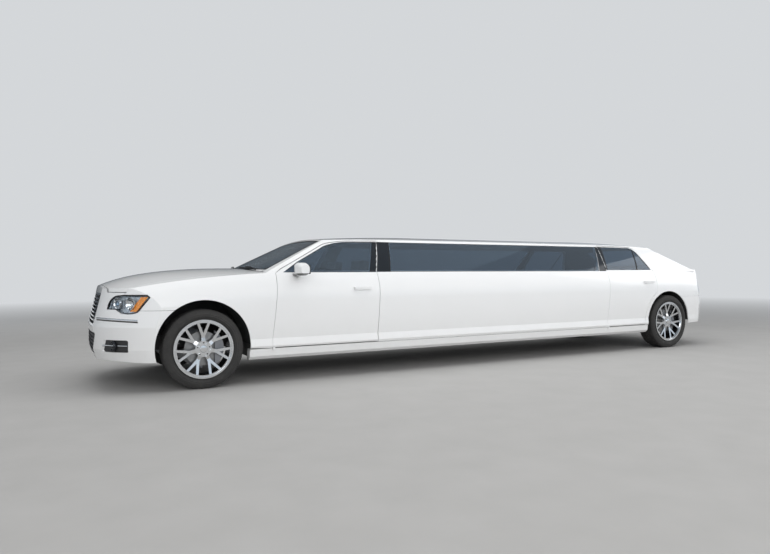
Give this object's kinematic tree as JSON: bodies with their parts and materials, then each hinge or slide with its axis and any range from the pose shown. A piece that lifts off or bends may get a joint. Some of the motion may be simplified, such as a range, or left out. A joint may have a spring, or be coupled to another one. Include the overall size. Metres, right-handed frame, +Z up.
{
  "type": "stretch limousine",
  "caption": "White stretch limousine with long side windows, opening doors, hood and trunk lid, steering and rolling wheels.",
  "frame": {"origin": "on the ground under the middle of the car's length and width", "axes": "+X forward, +Y to the car's left, +Z up"},
  "size_m": [8.346, 2.16, 1.4833],
  "materials": {
    "white_paint": "glossy white paint",
    "chrome": "polished chrome",
    "tinted_glass": "tinted glass",
    "clear_lens": "clear lamp lens",
    "red_lens": "red lamp lens",
    "dark_gloss": "dark gloss pillar cover",
    "black_plastic": "matt black plastic",
    "tyre": "black tyre rubber",
    "steel": "plain steel",
    "cast": "cast iron",
    "leather": "black leather",
    "carpet": "dark trim"
  },
  "bodies": {
    "body": {"front_fenders": "white_paint", "front_bumper": "white_paint", "headlamps": "clear_lens", "grille": "chrome", "intake_grille": "black_plastic", "cowl": "black_plastic", "stretch_panels": "white_paint", "sills": "white_paint", "roof": "white_paint", "windshield": "tinted_glass", "rear_window": "tinted_glass", "stretch_windows": "tinted_glass", "pillar_covers": "dark_gloss", "rear_quarters": "white_paint", "rear_bumper": "white_paint", "tail_lamps": "red_lens", "underbody": "black_plastic", "wheel_liners": "black_plastic", "engine_block": "cast", "radiator": "black_plastic", "dashboard": "black_plastic", "steering_wheel": "black_plastic", "front_seats": "leather", "partition": "carpet", "lounge_seats": "leather", "front_suspension": "steel", "rear_suspension": "steel", "exhaust": "steel"},
    "hood": {"hood": "white_paint"},
    "trunk_lid": {"trunk_lid": "white_paint"},
    "door_front_left": {"door_front_left": "white_paint", "door_front_left_glass": "tinted_glass", "mirror_left": "white_paint"},
    "door_rear_left": {"door_rear_left": "white_paint", "door_rear_left_glass": "tinted_glass"},
    "knuckle_left": {"knuckle_left": "steel"},
    "wheel_front_left": {"tyre_front_left": "tyre", "rim_front_left": "chrome", "disc_front_left": "steel"},
    "wheel_rear_left": {"tyre_rear_left": "tyre", "rim_rear_left": "chrome", "disc_rear_left": "steel"},
    "door_front_right": {"door_front_right": "white_paint", "door_front_right_glass": "tinted_glass", "mirror_right": "white_paint"},
    "door_rear_right": {"door_rear_right": "white_paint", "door_rear_right_glass": "tinted_glass"},
    "knuckle_right": {"knuckle_right": "steel"},
    "wheel_front_right": {"tyre_front_right": "tyre", "rim_front_right": "chrome", "disc_front_right": "steel"},
    "wheel_rear_right": {"tyre_rear_right": "tyre", "rim_rear_right": "chrome", "disc_rear_right": "steel"}
  },
  "joints": [
    {"name": "hood_hinge", "type": "hinge", "parent": "body", "child": "hood", "pos_m": [2.658, 0, 1.064], "axis": [0, -1, 0], "range_deg": [0, 55]},
    {"name": "trunk_hinge", "type": "hinge", "parent": "body", "child": "trunk_lid", "pos_m": [-3.708, 0, 1.104], "axis": [0, 1, 0], "range_deg": [0, 75]},
    {"name": "door_front_left_hinge", "type": "hinge", "parent": "body", "child": "door_front_left", "pos_m": [2.604, 0.934, 0.345], "axis": [0, 0, -1], "range_deg": [0, 65]},
    {"name": "door_rear_left_hinge", "type": "hinge", "parent": "body", "child": "door_rear_left", "pos_m": [-1.905, 0.934, 0.345], "axis": [0, 0, -1], "range_deg": [0, 65]},
    {"name": "steer_left", "type": "hinge", "parent": "body", "child": "knuckle_left", "pos_m": [3.258, 0.76, 0.364], "axis": [0, 0, 1], "range_deg": [-33, 33]},
    {"name": "wheel_front_left_spin", "type": "hinge", "parent": "knuckle_left", "child": "wheel_front_left", "pos_m": [3.258, 0.8055, 0.364], "axis": [0, 1, 0], "continuous": true},
    {"name": "wheel_rear_left_spin", "type": "hinge", "parent": "body", "child": "wheel_rear_left", "pos_m": [-3.096, 0.81, 0.364], "axis": [0, 1, 0], "continuous": true},
    {"name": "door_front_right_hinge", "type": "hinge", "parent": "body", "child": "door_front_right", "pos_m": [2.604, -0.934, 0.345], "axis": [0, 0, 1], "range_deg": [0, 65]},
    {"name": "door_rear_right_hinge", "type": "hinge", "parent": "body", "child": "door_rear_right", "pos_m": [-1.905, -0.934, 0.345], "axis": [0, 0, 1], "range_deg": [0, 65]},
    {"name": "steer_right", "type": "hinge", "parent": "body", "child": "knuckle_right", "pos_m": [3.258, -0.76, 0.364], "axis": [0, 0, 1], "range_deg": [-33, 33]},
    {"name": "wheel_front_right_spin", "type": "hinge", "parent": "knuckle_right", "child": "wheel_front_right", "pos_m": [3.258, -0.8055, 0.364], "axis": [0, 1, 0], "continuous": true},
    {"name": "wheel_rear_right_spin", "type": "hinge", "parent": "body", "child": "wheel_rear_right", "pos_m": [-3.096, -0.81, 0.364], "axis": [0, 1, 0], "continuous": true}
  ],
  "couplings": [
    {"joint": "steer_right", "follows": "steer_left", "ratio": 1}
  ]
}
